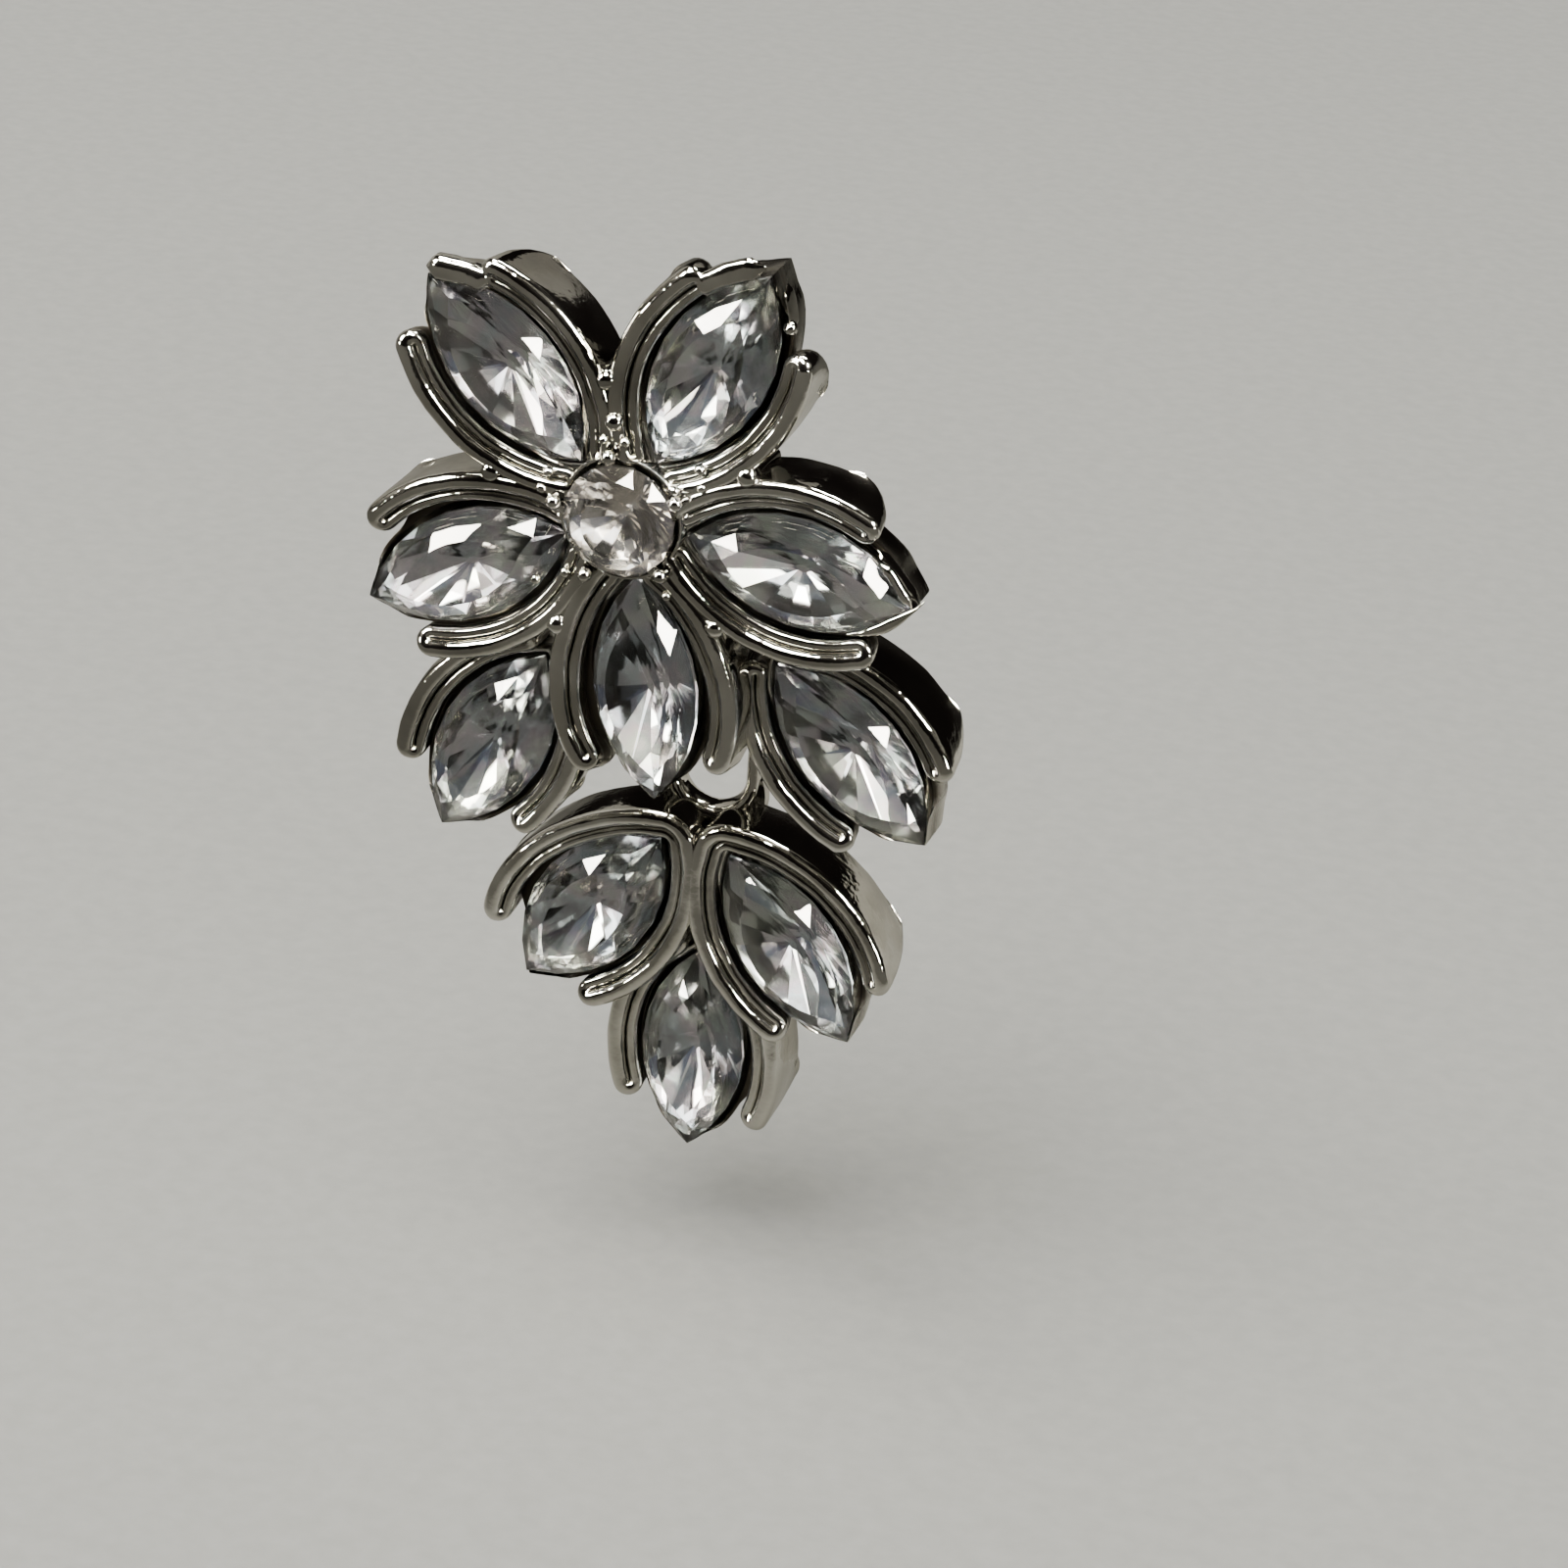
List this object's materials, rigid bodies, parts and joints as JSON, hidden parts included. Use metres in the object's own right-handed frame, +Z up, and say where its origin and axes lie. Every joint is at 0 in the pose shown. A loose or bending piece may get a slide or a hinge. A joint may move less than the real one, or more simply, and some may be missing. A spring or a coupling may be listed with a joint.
{
  "type": "floral dangle earring",
  "caption": "Silver-tone drop earring: a flower of clear navette-cut stones round a brilliant, with a stone-set cluster that swings below it.",
  "frame": {"origin": "middle of the flower's flat back, where the ear post leaves it", "axes": "the face looks along -Y, the ear post runs along +Y, +Z is up and the earring hangs along -Z"},
  "size_m": [0.0264, 0.0153, 0.0455],
  "materials": {
    "plated_metal": "polished silver-tone plate",
    "clear_stone": "polished and foil-backed"
  },
  "bodies": {
    "flower": {"flower_setting": "plated_metal", "ear_post": "plated_metal", "centre_stone": "clear_stone", "petal_stone_1": "clear_stone", "petal_stone_2": "clear_stone", "petal_stone_3": "clear_stone", "petal_stone_4": "clear_stone", "petal_stone_5": "clear_stone", "mid_stone_right": "clear_stone", "mid_stone_left": "clear_stone"},
    "drop": {"drop_setting": "plated_metal", "drop_stone_right": "clear_stone", "drop_stone_left": "clear_stone", "drop_stone_tail": "clear_stone"}
  },
  "joints": [
    {"name": "drop_swing", "type": "hinge", "parent": "flower", "child": "drop", "pos_m": [0.0021, 0.005, -0.01205], "axis": [0, 1, 0], "range_deg": [-25, 25]}
  ]
}
